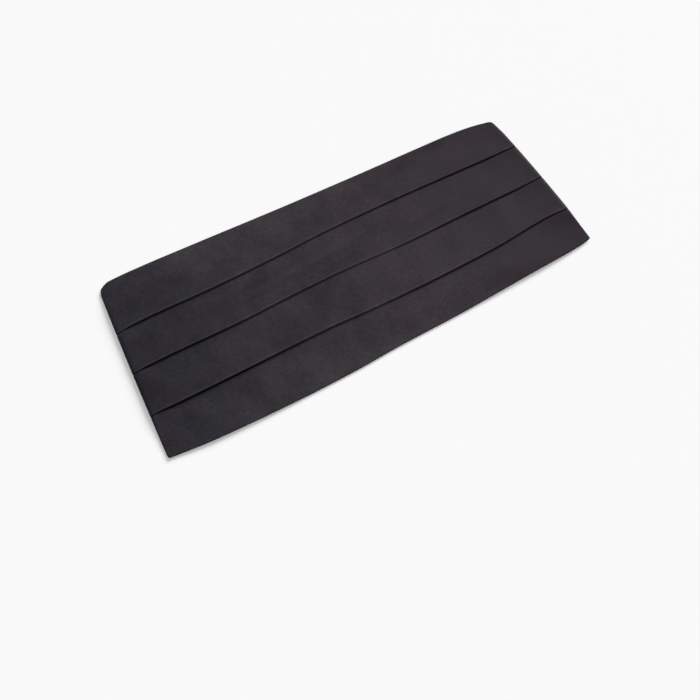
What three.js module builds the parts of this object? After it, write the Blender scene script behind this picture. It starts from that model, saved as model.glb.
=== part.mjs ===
// A black satin cummerbund, folded in three and laid flat with its pleated front up.
// X runs along the band, +Y points to the edge that is worn upwards, and Z up from the table.
// Lengths are in millimetres. The band lies in layers: the left tail on the table, the right
// tail on that, and the front panel over both.

import * as THREE from 'three';

const { clamp, lerp, smoothstep } = THREE.MathUtils;

// Front panel, as it lies between its two end folds
const PANEL_LENGTH = 287.5;
const PANEL_WIDTH = 122;
const LEFT_LEAN = 12.0;
const LEFT_BOW = 0.55;
const RIGHT_BOW = 3.3;
const RIGHT_BOW_CENTRE = 0.746;
const CORNER_RADIUS = { topLeft: 6, bottomLeft: 2, topRight: 3.5, bottomRight: 1 };

// Cloth and pleats
const CLOTH = 1.0;
const GAP = 0.3;
const PLEAT_OVERLAP = 8;
const LIP_CLEARANCE = 1.5;
const END_BLEND = 3;

// Tails, turned under the panel
const TAIL_LENGTH = 203;
const TAIL_END_WIDTH = 50;

// How the upper layers come down past what lies under them
const TAIL_STEP_RUN = 14;
const PANEL_STEP_RUN = 48;
const EDGE_DROOP = 2.8;
const DROOP_RUN = 26;
const DROOP_MARGIN = 2;

// Straps and clasp
const STRAP_END_CLEARANCE = 19.5;
const STRAP_WIDTH = 20;
const STRAP_THICKNESS = 1.0;
const STRAP_CORNER = 2;
const SLOT_LENGTH = 12;
const SLOT_WIDTH = 2;
const SLOT_INSET = 5;
const HOOK_LENGTH = 14;
const HOOK_RADIUS = 6;
const HOOK_WIRE = 3;
const HOOK_TIP = 3;
const HOOK_THICKNESS = 1.0;

// Spacing of the cross-sections along the band, and steps round a fold and a rounded edge
const PANEL_SPACING = 13;
const TAIL_SPACING = 60;
const END_RUN = 6;
const FOLD_STEPS = 6;
const ARC_STEPS = 4;

// The panel's five lines from left to right: its two edges and its three pleat creases.
// Column at is a share of PANEL_LENGTH, and the others are shares of PANEL_WIDTH above the middle.
const PANEL_LINES = [
  { at: 0.0, top: 0.527, crease1: 0.234, crease2: 0.0, crease3: -0.238, bottom: -0.46 },
  { at: 0.1, top: 0.539, crease1: 0.235, crease2: -0.003, crease3: -0.249, bottom: -0.485 },
  { at: 0.25, top: 0.531, crease1: 0.225, crease2: -0.013, crease3: -0.254, bottom: -0.498 },
  { at: 0.4, top: 0.516, crease1: 0.231, crease2: -0.006, crease3: -0.256, bottom: -0.498 },
  { at: 0.5, top: 0.507, crease1: 0.241, crease2: -0.007, crease3: -0.268, bottom: -0.489 },
  { at: 0.65, top: 0.497, crease1: 0.241, crease2: -0.021, crease3: -0.276, bottom: -0.485 },
  { at: 0.8, top: 0.486, crease1: 0.234, crease2: -0.019, crease3: -0.269, bottom: -0.474 },
  { at: 0.93, top: 0.474, crease1: 0.229, crease2: -0.015, crease3: -0.242, bottom: -0.462 },
  { at: 1.0, top: 0.448, crease1: 0.229, crease2: -0.01, crease3: -0.245, bottom: -0.447 },
];
const LINE_NAMES = ['top', 'crease1', 'crease2', 'crease3', 'bottom'];

// What follows from the sizes above
const LIP_RISE = CLOTH + GAP;
const BAND_THICKNESS = CLOTH + LIP_RISE;
const BAND_LAYER = BAND_THICKNESS + GAP;
const STRAP_LAYER = Math.max(STRAP_THICKNESS, HOOK_THICKNESS) + GAP;
const FOLD_RADIUS = GAP / 2 + BAND_THICKNESS;
const LEFT_TAIL_END = TAIL_LENGTH - PANEL_LENGTH / 2;
const RIGHT_TAIL_END = -LEFT_TAIL_END;
const HOOK_END = STRAP_END_CLEARANCE - PANEL_LENGTH / 2;
const RIGHT_STRAP_END = HOOK_END + HOOK_LENGTH + GAP;
const STRAP_LENGTH = RIGHT_TAIL_END - GAP - RIGHT_STRAP_END;
const LEFT_STRAP_END = LEFT_TAIL_END + GAP + STRAP_LENGTH;

// A smooth curve through one column of PANEL_LINES, in millimetres, at a share of the length
function panelLine(name, share) {
  const next = clamp(PANEL_LINES.findIndex((row) => row.at >= share), 1, PANEL_LINES.length - 1);
  const a = PANEL_LINES[next - 1];
  const b = PANEL_LINES[next];
  const before = PANEL_LINES[next - 2] ?? a;
  const after = PANEL_LINES[next + 1] ?? b;
  const span = b.at - a.at;
  const slopeA = ((b[name] - before[name]) / (b.at - before.at)) * span;
  const slopeB = ((after[name] - a[name]) / (after.at - a.at)) * span;
  const t = (share - a.at) / span;
  const rise = b[name] - a[name];
  const cubic = slopeA + slopeB - 2 * rise;
  const square = 3 * rise - 2 * slopeA - slopeB;
  return PANEL_WIDTH * (a[name] + t * (slopeA + t * (square + t * cubic)));
}

// How far a rounded corner draws an edge in, at a distance from the end of the panel
function cornerDrop(distance, radius) {
  const short = clamp(radius - distance, 0, radius);
  return radius - Math.sqrt(radius * radius - short * short);
}

// Where the two end folds reach at a height y of the panel
function leftEnd(y) {
  const share = y / PANEL_WIDTH + 0.5;
  return -PANEL_LENGTH / 2 + LEFT_LEAN * share - LEFT_BOW * 4 * share * (1 - share);
}

function rightEnd(y) {
  const share = (y / PANEL_WIDTH + 0.5 - RIGHT_BOW_CENTRE) / RIGHT_BOW_CENTRE;
  return PANEL_LENGTH / 2 - RIGHT_BOW * share * share;
}

// 1 up to where something underneath ends, then down to 0 within a run beyond it
function past(distance, run) {
  return 1 - clamp(distance / run, 0, 1);
}

// Height that a tail and then its strap add to the layer over them, at a distance past the
// tail's end and at one past the end of its strap or hook
function stepOver(pastTail, tailRun, pastStrap) {
  const tail = (BAND_LAYER - STRAP_LAYER) * past(pastTail, tailRun);
  return tail + STRAP_LAYER * past(pastStrap, TAIL_STEP_RUN);
}

// Height of the right tail's under side, over the left tail and its strap and down to the table
function rightTailLift(x) {
  return stepOver(x - LEFT_TAIL_END, TAIL_STEP_RUN, x - LEFT_STRAP_END);
}

// Height of the front panel's under side. Its long edges hang lower where the tails are narrow.
function panelLift(x, y) {
  const toNearerEnd = PANEL_LENGTH / 2 - Math.abs(x);
  const tailHalfWidth = (PANEL_WIDTH / 2) * tailTaper(toNearerEnd / TAIL_LENGTH);
  const beyond = Math.abs(y) - tailHalfWidth - DROOP_MARGIN;
  const droop = EDGE_DROOP * smoothstep(beyond, 0, DROOP_RUN);
  const overLeft = stepOver(x - LEFT_TAIL_END, PANEL_STEP_RUN, x - LEFT_STRAP_END);
  const overRight = stepOver(RIGHT_TAIL_END - x, PANEL_STEP_RUN, HOOK_END - x);
  return overLeft + overRight - droop;
}

// Width of a tail as a share of its width at the end fold
function tailTaper(share) {
  return lerp(1, TAIL_END_WIDTH / PANEL_WIDTH, clamp(share, 0, 1));
}

// Places from one x to another that include every mark between them, none further apart than
// spacing
function placesAlong(from, to, spacing, marks) {
  const inside = marks.filter((mark) => (mark - from) * (to - mark) > 0);
  const knots = [from, ...inside.sort((a, b) => (a - b) * Math.sign(to - from)), to];
  const places = [from];
  for (let k = 1; k < knots.length; k += 1) {
    const count = Math.ceil(Math.abs(knots[k] - knots[k - 1]) / spacing);
    for (let i = 1; i <= count; i += 1) {
      places.push(lerp(knots[k - 1], knots[k], i / count));
    }
  }
  return places;
}

// One row of cross-sections from the sewn end of the left tail to that of the right tail. One
// with no x stands where its stretch meets the end fold on its side, which leans or bows. In a
// fold, turn runs from 0 underneath to PI on top.
function bandStations() {
  const halfLength = PANEL_LENGTH / 2;
  const leftStart = LEFT_LEAN + END_RUN - halfLength;
  const rightStart = halfLength - RIGHT_BOW - END_RUN;
  const strapMarks = [LEFT_STRAP_END, LEFT_STRAP_END + TAIL_STEP_RUN];
  const hookMarks = [HOOK_END, HOOK_END - TAIL_STEP_RUN];
  const tailMarks = [LEFT_TAIL_END, LEFT_TAIL_END + TAIL_STEP_RUN, ...strapMarks];
  const panelMarks = [...strapMarks, ...hookMarks];
  panelMarks.push(LEFT_TAIL_END, LEFT_TAIL_END + PANEL_STEP_RUN);
  panelMarks.push(RIGHT_TAIL_END, RIGHT_TAIL_END - PANEL_STEP_RUN);
  const turns = Array.from({ length: FOLD_STEPS - 1 }, (_, i) => (Math.PI * (i + 1)) / FOLD_STEPS);
  const at = (stretch, side) => (x) => ({ stretch, side, x });
  const fold = (side) => (turn) => ({ stretch: 'fold', side, turn });
  return [
    ...placesAlong(LEFT_TAIL_END, leftStart, TAIL_SPACING, []).map(at('tail', -1)),
    { stretch: 'tail', side: -1 },
    ...turns.map(fold(-1)),
    { stretch: 'panel', side: -1 },
    ...placesAlong(leftStart, rightStart, PANEL_SPACING, panelMarks).map(at('panel', 0)),
    { stretch: 'panel', side: 1 },
    ...turns.reverse().map(fold(1)),
    { stretch: 'tail', side: 1 },
    ...placesAlong(rightStart, RIGHT_TAIL_END, TAIL_SPACING, tailMarks).map(at('tail', 1)),
  ];
}

// The heights y of the five lines at one station, with the panel's corners rounded. In a tail
// they are those of its end fold.
function stationLines({ stretch, side, x, turn = 0 }) {
  const onPanel = stretch === 'panel' && x !== undefined;
  const share = onPanel ? x / PANEL_LENGTH + 0.5 : (side + 1) / 2;
  const lines = LINE_NAMES.map((name) => panelLine(name, share));
  const unrolled = stretch === 'panel' ? 1 : 1 - Math.sin(Math.max(turn, Math.PI / 2));
  const fromEnd = (end, y) => {
    if (onPanel) {
      return end < 0 ? x - leftEnd(y) : rightEnd(y) - x;
    }
    return end === side ? FOLD_RADIUS * unrolled : PANEL_LENGTH;
  };
  const [top, bottom] = [lines[0], lines[4]];
  lines[0] -= cornerDrop(fromEnd(-1, top), CORNER_RADIUS.topLeft);
  lines[0] -= cornerDrop(fromEnd(1, top), CORNER_RADIUS.topRight);
  lines[4] += cornerDrop(fromEnd(-1, bottom), CORNER_RADIUS.bottomLeft);
  lines[4] += cornerDrop(fromEnd(1, bottom), CORNER_RADIUS.bottomRight);
  return lines;
}

// The end fold on one side at a height y: its inner radius and the height of its middle
function endFold(side, y) {
  const end = side < 0 ? leftEnd(y) : rightEnd(y);
  const tailFace = BAND_THICKNESS + (side < 0 ? 0 : rightTailLift(end));
  const panelFace = panelLift(end, y);
  return { end, innerRadius: (panelFace - tailFace) / 2, middle: (panelFace + tailFace) / 2 };
}

// A point of the band: foldY is its height on the panel or at the tail's end fold, above is its
// distance from the band's inner face, and outer that of the outermost cloth at the same height
function bandPoint(station, foldY, above, outer) {
  const { stretch, side } = station;
  let x = station.x;
  if (x === undefined) {
    const { end, innerRadius, middle } = endFold(side, foldY);
    x = end - side * (innerRadius + outer);
    if (stretch === 'fold') {
      const radius = innerRadius + above;
      const z = middle - radius * Math.cos(station.turn);
      return new THREE.Vector3(x + side * radius * Math.sin(station.turn), foldY, z);
    }
  }
  if (stretch === 'panel') {
    return new THREE.Vector3(x, foldY, panelLift(x, foldY) + above);
  }
  const fromFold = station.x === undefined ? 0 : PANEL_LENGTH / 2 - side * x;
  const lift = side < 0 ? 0 : rightTailLift(x);
  const y = foldY * tailTaper(fromFold / TAIL_LENGTH);
  return new THREE.Vector3(x, y, lift + BAND_THICKNESS - above);
}

// One pleat's cross-section at a station: out along its face from the upper edge to the lower,
// round the lower edge, back along its inner face and round the upper edge
function pleatSection(station, upper, lower, tucked, lipped) {
  const half = CLOTH / 2;
  const pitch = upper - lower;
  const rampEnd = pitch - PLEAT_OVERLAP - LIP_CLEARANCE;
  const lipRise = lipped ? LIP_RISE : 0;
  const riseAt = (down) => lipRise * clamp(down / rampEnd, 0, 1);
  const outerAt = (down) => {
    const own = riseAt(down) + CLOTH;
    const clear = clamp((down - half) / END_BLEND, 0, 1);
    return tucked ? lerp(BAND_THICKNESS, own, clear) : own;
  };
  const stops = [half, half + END_BLEND, rampEnd / 2, rampEnd];
  stops.push(pitch - PLEAT_OVERLAP / 2, pitch - half);
  if (tucked) {
    stops.unshift(half - PLEAT_OVERLAP, -PLEAT_OVERLAP / 2);
  }
  const first = stops[0];
  const last = stops[stops.length - 1];
  const outline = stops.map((down) => [down, riseAt(down) + CLOTH]);
  const arcs = { lower: [], upper: [] };
  for (let i = 1; i < ARC_STEPS; i += 1) {
    const turn = (Math.PI * i) / ARC_STEPS;
    const out = half * Math.sin(turn);
    const up = half * Math.cos(turn);
    arcs.lower.push([last + out, riseAt(last) + half + up]);
    arcs.upper.push([first - out, riseAt(first) + half - up]);
  }
  outline.push(...arcs.lower);
  outline.push(...stops.map((down) => [down, riseAt(down)]).reverse());
  outline.push(...arcs.upper);
  return outline.map(([down, above]) => bandPoint(station, upper - down, above, outerAt(down)));
}

// The faces that close an end cross-section, in strips across its thickness that start at the
// middle of the arc round its upper edge
function endFaces(count) {
  const tip = count - ARC_STEPS / 2;
  const faces = [];
  for (let k = 0; k < count / 2; k += 1) {
    const a = (tip + k) % count;
    const b = (tip + k + 1) % count;
    const c = (tip - k + count) % count;
    const d = (tip - k - 1 + count) % count;
    if (k > 0) {
      faces.push([a, b, c]);
    }
    if (b !== d) {
      faces.push([b, d, c]);
    }
  }
  return faces;
}

// A closed skin over a row of cross-sections with equal numbers of points
function loft(sections) {
  const count = sections[0].length;
  const lastStart = (sections.length - 1) * count;
  const positions = sections.flat().flatMap((point) => point.toArray());
  const faces = [];
  for (let start = 0; start < lastStart; start += count) {
    for (let j = 0; j < count; j += 1) {
      const a = start + j;
      const b = start + ((j + 1) % count);
      faces.push(a, b, a + count, b, b + count, a + count);
    }
  }
  for (const [a, b, c] of endFaces(count)) {
    faces.push(c, b, a);
    faces.push(lastStart + a, lastStart + b, lastStart + c);
  }
  const geometry = new THREE.BufferGeometry();
  geometry.setAttribute('position', new THREE.Float32BufferAttribute(positions, 3));
  geometry.setIndex(faces);
  geometry.computeVertexNormals();
  return geometry;
}

function pleatGeometry(number) {
  const tucked = number > 1;
  const lipped = number < LINE_NAMES.length - 1;
  const sections = bandStations().map((station) => {
    const lines = stationLines(station);
    return pleatSection(station, lines[number - 1], lines[number], tucked, lipped);
  });
  return loft(sections);
}

// A flat strap from x = 0 to its rounded end at x = STRAP_LENGTH, with a slot if asked for
function strapGeometry(slotted) {
  const half = STRAP_WIDTH / 2;
  const shape = new THREE.Shape();
  shape.moveTo(0, -half);
  shape.lineTo(STRAP_LENGTH - STRAP_CORNER, -half);
  shape.absarc(STRAP_LENGTH - STRAP_CORNER, STRAP_CORNER - half, STRAP_CORNER, -Math.PI / 2, 0);
  shape.lineTo(STRAP_LENGTH, half - STRAP_CORNER);
  shape.absarc(STRAP_LENGTH - STRAP_CORNER, half - STRAP_CORNER, STRAP_CORNER, 0, Math.PI / 2);
  shape.lineTo(0, half);
  if (slotted) {
    const slot = new THREE.Path();
    const near = STRAP_LENGTH - SLOT_INSET - SLOT_WIDTH;
    const end = SLOT_LENGTH / 2;
    slot.moveTo(near, -end);
    slot.lineTo(near, end);
    slot.lineTo(near + SLOT_WIDTH, end);
    slot.lineTo(near + SLOT_WIDTH, -end);
    shape.holes.push(slot);
  }
  return new THREE.ExtrudeGeometry(shape, {
    depth: STRAP_THICKNESS,
    bevelEnabled: false,
    curveSegments: ARC_STEPS,
  });
}

// A flat hook: a bar across the strap's end and a wire that turns back towards it
function hookGeometry() {
  const centre = HOOK_LENGTH - HOOK_RADIUS;
  const inner = HOOK_RADIUS - HOOK_WIRE;
  const half = STRAP_WIDTH / 2;
  const shape = new THREE.Shape();
  shape.moveTo(0, -half);
  shape.lineTo(HOOK_WIRE, -half);
  shape.lineTo(HOOK_WIRE, -HOOK_RADIUS);
  shape.lineTo(centre, -HOOK_RADIUS);
  shape.absarc(centre, 0, HOOK_RADIUS, -Math.PI / 2, Math.PI / 2);
  shape.lineTo(centre - HOOK_TIP, HOOK_RADIUS);
  shape.lineTo(centre - HOOK_TIP, inner);
  shape.lineTo(centre, inner);
  shape.absarc(centre, 0, inner, Math.PI / 2, -Math.PI / 2, true);
  shape.lineTo(HOOK_WIRE, -inner);
  shape.lineTo(HOOK_WIRE, half);
  shape.lineTo(0, half);
  return new THREE.ExtrudeGeometry(shape, {
    depth: HOOK_THICKNESS,
    bevelEnabled: false,
    curveSegments: 2 * ARC_STEPS,
  });
}

function satin() {
  return new THREE.MeshStandardMaterial({ color: 0x383238, roughness: 0.5, metalness: 0 });
}

function ribbon() {
  return new THREE.MeshStandardMaterial({ color: 0x1c1b1f, roughness: 0.8, metalness: 0 });
}

function steel() {
  return new THREE.MeshStandardMaterial({ color: 0x2a2a2c, roughness: 0.4, metalness: 0.9 });
}

function named(name, geometry, material) {
  const mesh = new THREE.Mesh(geometry, material);
  mesh.name = name;
  return mesh;
}

const cummerbund = new THREE.Group();
for (let number = 1; number < LINE_NAMES.length; number += 1) {
  cummerbund.add(named(`pleat_${number}`, pleatGeometry(number), satin()));
}

const strapLeft = named('strap_left', strapGeometry(true), ribbon());
strapLeft.position.set(LEFT_TAIL_END + GAP, 0, 0);
cummerbund.add(strapLeft);

const strapRight = named('strap_right', strapGeometry(false), ribbon());
strapRight.rotation.z = Math.PI;
strapRight.position.set(RIGHT_TAIL_END - GAP, 0, BAND_LAYER);
cummerbund.add(strapRight);

const hookClasp = named('hook_clasp', hookGeometry(), steel());
hookClasp.rotation.z = Math.PI;
hookClasp.position.set(RIGHT_STRAP_END - GAP, 0, BAND_LAYER);
cummerbund.add(hookClasp);

// The origin is under the middle of the whole, on the table
const box = new THREE.Box3().setFromObject(cummerbund);
const middle = box.getCenter(new THREE.Vector3());
cummerbund.position.set(-middle.x, -middle.y, -box.min.z);

export default cummerbund;
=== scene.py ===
# %% [markdown]
# # A black satin cummerbund, folded in three
#
# A cummerbund is a pleated sash that is worn round the waist with evening dress. This one lies
# folded on a table: the pleated front is up, and the two narrowing ends, each with a strap,
# are turned in under it. The photo shows the front and its end folds. The tails, straps and
# hook are hidden, and are guessed from how such bands are commonly made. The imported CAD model
# gives the sizes and places, and here thin satin with turned edges takes each solid's place.
#
# All the shapes are surfaces worked out with numpy: a flat profile is carried along the band,
# and each point of the resulting grid is one vertex.

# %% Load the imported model
import math
import bmesh
import bpy
import numpy as np
from mathutils import Matrix, Vector


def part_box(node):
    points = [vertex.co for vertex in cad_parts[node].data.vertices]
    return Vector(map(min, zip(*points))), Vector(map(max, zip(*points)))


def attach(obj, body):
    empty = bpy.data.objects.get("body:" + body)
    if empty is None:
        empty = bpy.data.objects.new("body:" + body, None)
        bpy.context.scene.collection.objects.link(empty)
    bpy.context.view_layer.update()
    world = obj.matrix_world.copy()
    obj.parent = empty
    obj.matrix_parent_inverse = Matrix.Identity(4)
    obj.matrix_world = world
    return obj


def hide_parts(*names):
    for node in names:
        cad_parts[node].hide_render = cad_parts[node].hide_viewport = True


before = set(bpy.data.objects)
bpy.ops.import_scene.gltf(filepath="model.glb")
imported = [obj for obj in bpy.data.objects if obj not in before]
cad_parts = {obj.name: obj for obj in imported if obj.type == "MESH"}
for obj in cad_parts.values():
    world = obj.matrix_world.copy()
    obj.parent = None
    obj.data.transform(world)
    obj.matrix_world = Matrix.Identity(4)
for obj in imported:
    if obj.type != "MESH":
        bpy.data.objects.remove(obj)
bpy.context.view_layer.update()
print("CAD nodes:", sorted(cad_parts))

# %% [markdown]
# ## The sizes that the cloth shares with the CAD model
#
# The band is worked out in millimetres from the same named sizes and the same table of lines
# as the solids, and becomes metres only when a mesh is made. The two models then agree
# without any fitting. The left strap's box tells where the CAD model put its origin.
#
# Three things differ. The solids are a millimetre thick, as a printed or milled wall must be,
# and real satin is much thinner. PRESSED tells how high the real pile is beside the solids, and
# every height is multiplied by it when a mesh is made, so no layer can cut through another.
# Three corners are up to a millimetre and a half rounder than the solids', which follows the
# photo more closely. And the long edges sink nearly to the table, further than the solids' do.

# %% Sizes and origin
MM = 0.001

PANEL_LENGTH = 287.5
PANEL_WIDTH = 122
LEFT_LEAN = 12.0
LEFT_BOW = 0.55
RIGHT_BOW = 3.3
RIGHT_BOW_CENTRE = 0.746
CORNER_RADIUS = {"top_left": 7.5, "bottom_left": 2, "top_right": 4.5, "bottom_right": 2}

LIP_RISE = 1.3
STRIP_HEIGHT = 1.0
BAND_HEIGHT = STRIP_HEIGHT + LIP_RISE
LAYER_GAP = 0.3
BAND_LAYER = BAND_HEIGHT + LAYER_GAP
STRAP_LAYER = 1.3
PLEAT_OVERLAP = 8
LIP_CLEARANCE = 1.5
FOLD_RADIUS = LAYER_GAP / 2 + BAND_HEIGHT

TAIL_LENGTH = 203
TAIL_END_WIDTH = 50
TAIL_END = TAIL_LENGTH - PANEL_LENGTH / 2
STRAP_WIDTH = 20
RIGHT_STRAP_END = 109.95

PRESSED = 0.7

strap_low, strap_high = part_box("strap_left")
ORIGIN = np.array([
    strap_high.x / MM - RIGHT_STRAP_END,
    (strap_low.y + strap_high.y) / 2 / MM,
    0.0,
])
print("origin of the drawing in the packed model, mm:", ORIGIN.round(2))

# %% [markdown]
# ## The five lines of the front
#
# A maker marks five lines on the front: its two long edges and the three pleat creases
# between them. None of them is quite straight on the real thing, so each is a smooth curve
# through a few measured places. A cubic through each pair of neighbours keeps the slope
# continuous, which matters on a shiny cloth, where the eye sees every kink.

# %% Lines of the front, as shares of its length and width
LINE_NAMES = ("top", "crease_1", "crease_2", "crease_3", "bottom")
LINES_AT = np.array([0.0, 0.1, 0.25, 0.4, 0.5, 0.65, 0.8, 0.93, 1.0])
LINES = {
    "top": np.array([0.527, 0.539, 0.531, 0.516, 0.507, 0.497, 0.486, 0.474, 0.448]),
    "crease_1": np.array([0.234, 0.235, 0.225, 0.231, 0.241, 0.241, 0.234, 0.229, 0.229]),
    "crease_2": np.array([0.0, -0.003, -0.013, -0.006, -0.007, -0.021, -0.019, -0.015, -0.01]),
    "crease_3": np.array([-0.238, -0.249, -0.254, -0.256, -0.268, -0.276, -0.269, -0.242, -0.245]),
    "bottom": np.array([-0.46, -0.485, -0.498, -0.498, -0.489, -0.485, -0.474, -0.462, -0.447]),
}


def curve_through(at, values, place):
    """A cubic between each two neighbouring values. Its slope at a value is the slope of the
    straight line between the values on either side of it."""
    slope = np.gradient(values, at)
    slope[1:-1] = (values[2:] - values[:-2]) / (at[2:] - at[:-2])
    k = np.clip(np.searchsorted(at, place) - 1, 0, len(at) - 2)
    span = at[k + 1] - at[k]
    t = (place - at[k]) / span
    rise = values[k + 1] - values[k]
    a, b = slope[k] * span, slope[k + 1] * span
    return values[k] + t * (a + t * (3 * rise - 2 * a - b + t * (a + b - 2 * rise)))


def ease(x):
    """0 below 0, 1 above 1, and 3x^2 - 2x^3 between them."""
    x = np.clip(x, 0, 1)
    return x * x * (3 - 2 * x)


def blend(a, b, share):
    """a where share is 0, b where it is 1."""
    return a + (b - a) * share


def left_end(y):
    """Where the left end fold reaches at height y: a leaning line with a slight bow."""
    share = y / PANEL_WIDTH + 0.5
    return -PANEL_LENGTH / 2 + LEFT_LEAN * share - LEFT_BOW * 4 * share * (1 - share)


def right_end(y):
    """Where the right end fold reaches at height y: a parabola that bows outwards."""
    share = (y / PANEL_WIDTH + 0.5 - RIGHT_BOW_CENTRE) / RIGHT_BOW_CENTRE
    return PANEL_LENGTH / 2 - RIGHT_BOW * share * share


for name in LINE_NAMES:
    ends = curve_through(LINES_AT, LINES[name], np.array([0.0, 1.0])) * PANEL_WIDTH
    print(f"{name}: {ends[0]:.1f} mm at the left end, {ends[1]:.1f} mm at the right")

# %% [markdown]
# ## How high each layer lies
#
# The front rests on the two turned-in tails and their straps, so it is highest in the middle
# and comes down in long, gentle slopes over the ends of what lies under it. Stiffened satin
# bridges such steps and never follows them sharply. Its long edges hang a little lower, where
# the tails are too narrow to hold them up.

# %% Heights of the layers, in mm
TAIL_STEP_RUN = 14
PANEL_STEP_RUN = 60
EDGE_REST = 0.8
DROOP_RUN = 22
DROOP_MARGIN = -4
PANEL_STRAP_START = {"left": 110.0, "right": 98.0}
PANEL_STRAP_RUN = {"left": 30.0, "right": 40.0}


def tail_taper(from_fold):
    """A tail's width at a distance from its end fold, as a share of the width there."""
    share = np.clip(from_fold / TAIL_LENGTH, 0, 1)
    return blend(1.0, TAIL_END_WIDTH / PANEL_WIDTH, share)


def step_down(distance, run):
    """1 up to distance 0, then down to 0 within run in an S-shaped curve."""
    return 1 - ease(distance / run)


def right_tail_lift(x):
    """Height of the right tail's under side. It lies on the left tail, on that one's strap and
    then on the table."""
    tail = (BAND_LAYER - STRAP_LAYER) * step_down(x - TAIL_END, TAIL_STEP_RUN)
    return tail + STRAP_LAYER * step_down(x - RIGHT_STRAP_END, TAIL_STEP_RUN)


def panel_lift(x, y):
    """Height of the front's under side: one layer for the tail that always lies under it, a
    second one that ends in long slopes, and next to nothing beside the narrow parts of the
    tails, where only the strip's own settling is left above the table."""
    reach = np.abs(x)
    left = x < 0
    start = np.where(left, PANEL_STRAP_START["left"], PANEL_STRAP_START["right"])
    run = np.where(left, PANEL_STRAP_RUN["left"], PANEL_STRAP_RUN["right"])
    second = (BAND_LAYER - STRAP_LAYER) * step_down(reach - TAIL_END, PANEL_STEP_RUN)
    second = second + STRAP_LAYER * step_down(reach - start, run)
    half_tail = PANEL_WIDTH / 2 * tail_taper(PANEL_LENGTH / 2 - reach)
    beyond = ease((np.abs(y) - half_tail - DROOP_MARGIN) / DROOP_RUN)
    return blend(BAND_LAYER + second, EDGE_REST + LIP_RISE, beyond)


middle_top = panel_lift(np.array([0.0]), np.array([0.0]))[0] + BAND_HEIGHT
print(f"the front's highest lip lies {middle_top:.1f} mm above the table")

# %% [markdown]
# ## Creases that open and wrinkles that stay
#
# A pressed pleat doesn't lie evenly. Along each crease the folded edge stands off a little
# here and is pressed flat there, and the dark line under it grows and fades with that. The
# table gives this opening in millimetres, below zero where the edge is pressed in. The cloth
# also has soft wrinkles: long, low mounds, each given by its middle, its half length and half
# width, its direction and its height. They are drawn as bell curves, which have no edge to
# catch the light.

# %% Opening of the folded edges and wrinkles of the front
OPENING_AT = np.array([0.0, 0.1, 0.2, 0.3, 0.4, 0.5, 0.6, 0.7, 0.8, 0.9, 1.0])
OPENING = {
    "crease_1": np.array([0.5, 0.7, 0.55, 0.3, 0.1, 0.0, 0.15, 0.2, 0.2, 0.3, 0.2]),
    "crease_2": np.array([0.7, 0.8, 0.75, 0.25, 0.2, -0.2, -0.3, 0.2, 0.3, 0.2, 0.0]),
    "crease_3": np.array([0.8, 1.15, 1.1, 0.7, 0.4, 0.1, 0.5, 0.6, 0.4, 0.3, 0.1]),
}
OPENING_RUN = 7.0

WRINKLES = np.array([
    # x, y, half length, half width, turn in degrees, height
    (-42.0, 20.0, 34.0, 2.6, 5.0, 0.4),
    (-12.0, 13.0, 46.0, 2.2, 3.0, 0.5),
    (34.0, 19.0, 40.0, 2.0, 6.0, 0.5),
    (62.0, 10.0, 36.0, 2.4, 4.0, 0.45),
    (-96.0, 44.0, 20.0, 9.0, 70.0, 0.2),
    (-20.0, 48.0, 30.0, 8.0, 12.0, 0.16),
    (70.0, 44.0, 34.0, 7.0, -10.0, 0.18),
    (-70.0, -12.0, 26.0, 6.0, 14.0, 0.2),
    (24.0, -14.0, 34.0, 5.0, -7.0, 0.16),
    (104.0, -10.0, 18.0, 7.0, 60.0, 0.18),
    (-114.0, -40.0, 10.0, 4.0, 30.0, 0.28),
    (-78.0, -48.0, 26.0, 5.0, 12.0, 0.2),
    (10.0, -46.0, 40.0, 6.0, -5.0, 0.2),
    (92.0, -44.0, 26.0, 6.0, 12.0, 0.2),
    (124.0, 30.0, 8.0, 16.0, 10.0, 0.18),
])


def wrinkle_height(x, y):
    """Sum of the mounds: the height of each times e to the minus of its squared distance,
    measured along and across it in its half length and half width."""
    total = np.zeros(np.broadcast(x, y).shape)
    for mid_x, mid_y, half_length, half_width, turn, height in WRINKLES:
        c, s = math.cos(math.radians(turn)), math.sin(math.radians(turn))
        along = ((x - mid_x) * c + (y - mid_y) * s) / half_length
        across = ((y - mid_y) * c - (x - mid_x) * s) / half_width
        total += height * np.exp(-along**2 - across**2)
    return total


print(f"{len(WRINKLES)} wrinkles, {WRINKLES[:, 5].min()} to {WRINKLES[:, 5].max()} mm high")

# %% [markdown]
# ## Stations along the band
#
# The band is one long path: in along the left tail, round the left end fold, across the front,
# round the right end fold and out along the right tail. A station is one place on that path.
# The arrays below hold one value for each station. Near an end the stations turn from straight
# cross-sections to ones that lie along the fold, which leans or bows.

# %% Stations
PANEL_SPACING = 1.0
TAIL_SPACING = 4.0
BLEND_STEPS = 10
FOLD_STEPS = 20
END_RUN = 6
LEFT_START = LEFT_LEAN + END_RUN - PANEL_LENGTH / 2
RIGHT_START = PANEL_LENGTH / 2 - RIGHT_BOW - END_RUN
TAIL, FOLD, PANEL = 0, 1, 2


def stretch(kind, side, x, to_fold=0.0, turn=0.0):
    """Rows for one stretch of the band, with the columns kind, side, x, to_fold and turn."""
    columns = np.broadcast_arrays(kind, side, np.asarray(x, float), to_fold, turn)
    return np.stack([np.ravel(c) for c in columns], 1)


def spaced(start, stop, spacing):
    """Places from start to stop, both included, no further apart than spacing."""
    return np.linspace(start, stop, math.ceil(abs(stop - start) / spacing) + 1)


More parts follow.
